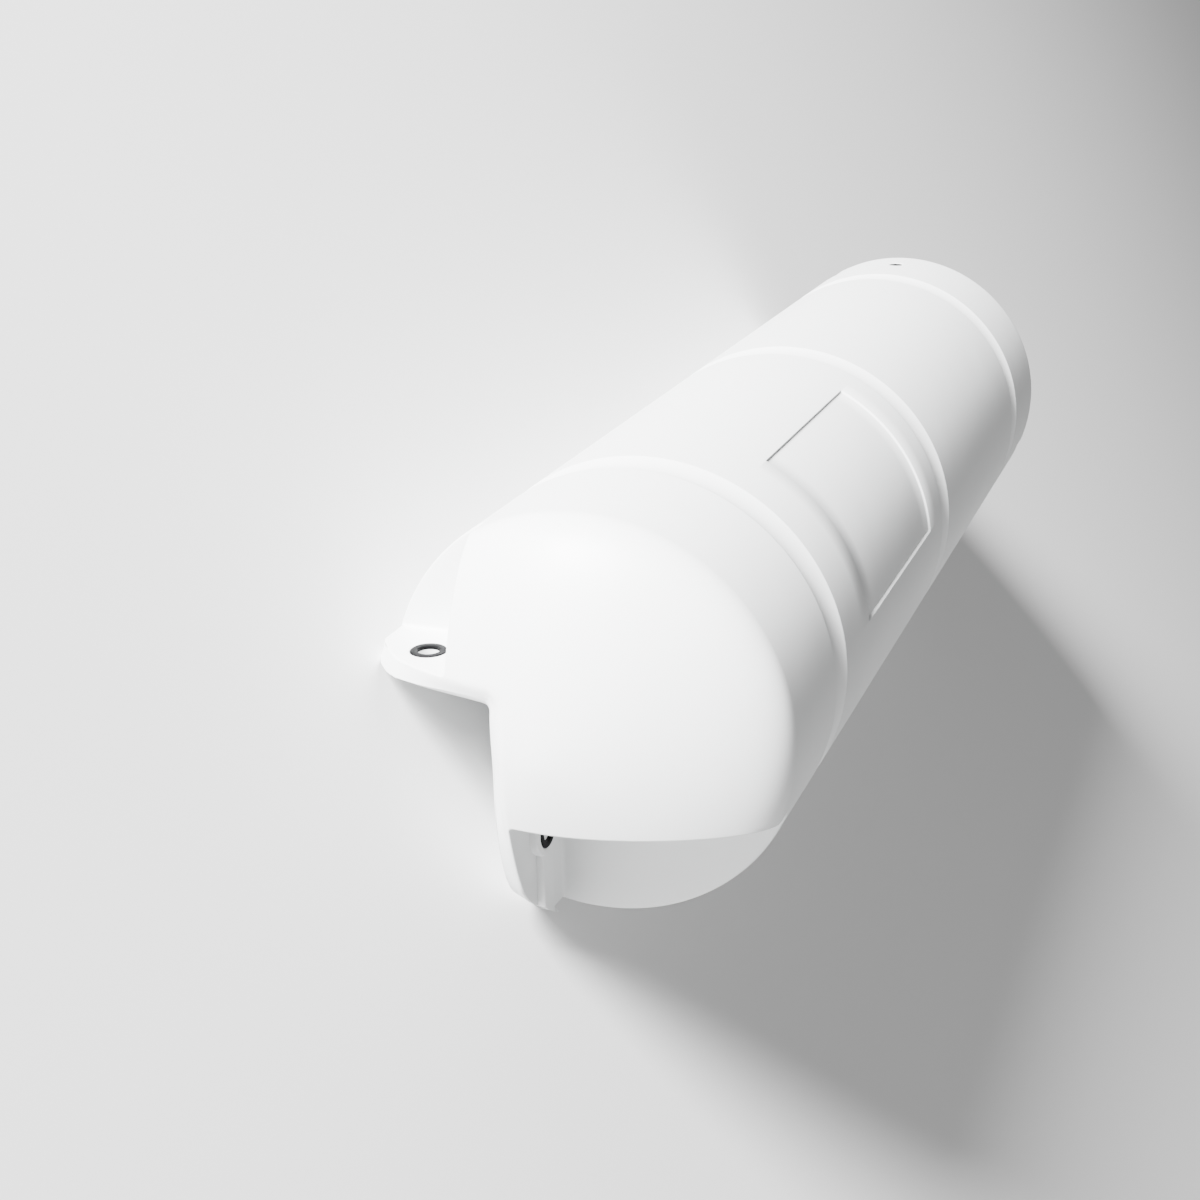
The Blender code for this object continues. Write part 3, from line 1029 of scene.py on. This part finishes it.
class FENDER_OT_valve_plug(bpy.types.Operator):
    """Build the slotted plug of the air valve"""

    bl_idname = "fender.valve_plug"
    bl_label = "Valve Plug"

    def execute(self, context):
        plug = add_piece("slotted_plug", *plug_surface(), smooth_angle=RUBBER_SHARP)
        dress(plug, made_once("moulded_rubber_and_painted_shade", black_rubber), "black_rubber", "valve_plug")
        return {"FINISHED"}


class FENDER_OT_stage(bpy.types.Operator):
    """Lay a pale floor, and set the soft lights and the camera"""

    bl_idname = "fender.stage"
    bl_label = "Stage"

    def execute(self, context):
        scene = context.scene
        floor = bpy.data.meshes.new("studio_floor")
        corners = [(-FLOOR_REACH, -FLOOR_REACH, 0), (FLOOR_REACH, -FLOOR_REACH, 0),
                   (FLOOR_REACH, FLOOR_REACH, 0), (-FLOOR_REACH, FLOOR_REACH, 0)]
        floor.from_pydata(corners, [], [(0, 1, 2, 3)])
        ground = bpy.data.objects.new("studio_floor", floor)
        ground.data.materials.append(floor_finish())
        scene.collection.objects.link(ground)

        for name, place, size, energy in LIGHTS:
            lamp = bpy.data.lights.new(name, "AREA")
            lamp.shape = "DISK"
            lamp.size = size
            lamp.energy = energy
            light = bpy.data.objects.new(name, lamp)
            light.location = place
            light.rotation_mode = "QUATERNION"
            light.rotation_quaternion = (Vector(AIM) - Vector(place)).to_track_quat("-Z", "Y")
            scene.collection.objects.link(light)

        scene.world = scene.world or bpy.data.worlds.new("studio")
        scene.world.use_nodes = True
        background = scene.world.node_tree.nodes["Background"]
        background.inputs["Color"].default_value = (1.0, 1.0, 1.0, 1.0)
        background.inputs["Strength"].default_value = SKY_STRENGTH

        lens = bpy.data.cameras.new("camera")
        lens.lens = CAMERA_LENS
        lens.sensor_width = CAMERA_SENSOR
        camera = bpy.data.objects.new("camera", lens)
        camera.location = CAMERA_PLACE
        camera.rotation_mode = "QUATERNION"
        camera.rotation_quaternion = CAMERA_TURN
        scene.collection.objects.link(camera)
        scene.camera = camera
        return {"FINISHED"}


class FENDER_PT_panel(bpy.types.Panel):
    """Buttons and sizes of the fender"""

    bl_label = "Dock Fender"
    bl_idname = "FENDER_PT_panel"
    bl_space_type = "VIEW_3D"
    bl_region_type = "UI"
    bl_category = "Fender"

    def draw(self, context):
        layout = self.layout
        for operator in OPERATORS:
            layout.operator(operator.bl_idname)
        for group in (context.scene.fender_sizes, context.scene.fender_finish):
            column = layout.column(align=True)
            for name in group.bl_rna.properties.keys():
                if name not in {"rna_type", "name"}:
                    column.prop(group, name)


BODY_SHARP = math.radians(36)
RUBBER_SHARP = math.radians(50)
FLOOR_REACH = 40.0
AIM = (-0.1, 0.0, 0.1)
LIGHTS = (
    ("key", (-2.6, 3.5, 1.05), 1.5, 1900.0),
    ("fill", (-1.5, -3.5, 1.2), 2.0, 60.0),
)
SKY_STRENGTH = 0.30
CAMERA_LENS = 54.586       # in millimetres, as is the sensor's width
CAMERA_SENSOR = 36.0
CAMERA_PLACE = (-1.28526, 0.18126, 0.60721)
CAMERA_TURN = (0.820567, 0.079274, -0.50814, -0.249357)
OPERATORS = (FENDER_OT_vinyl_body, FENDER_OT_eyelet_rings, FENDER_OT_valve_plug, FENDER_OT_stage)
CLASSES = (FenderSizes, FenderFinish) + OPERATORS + (FENDER_PT_panel,)


def register():
    for item in CLASSES:
        bpy.utils.register_class(item)
    bpy.types.Scene.fender_sizes = bpy.props.PointerProperty(type=FenderSizes)
    bpy.types.Scene.fender_finish = bpy.props.PointerProperty(type=FenderFinish)


def unregister():
    del bpy.types.Scene.fender_finish
    del bpy.types.Scene.fender_sizes
    for item in reversed(CLASSES):
        bpy.utils.unregister_class(item)


def main():
    register()
    bpy.ops.fender.stage()
    bpy.ops.fender.vinyl_body()
    bpy.ops.fender.eyelet_rings()
    bpy.ops.fender.valve_plug()


if __name__ == "__main__":
    main()
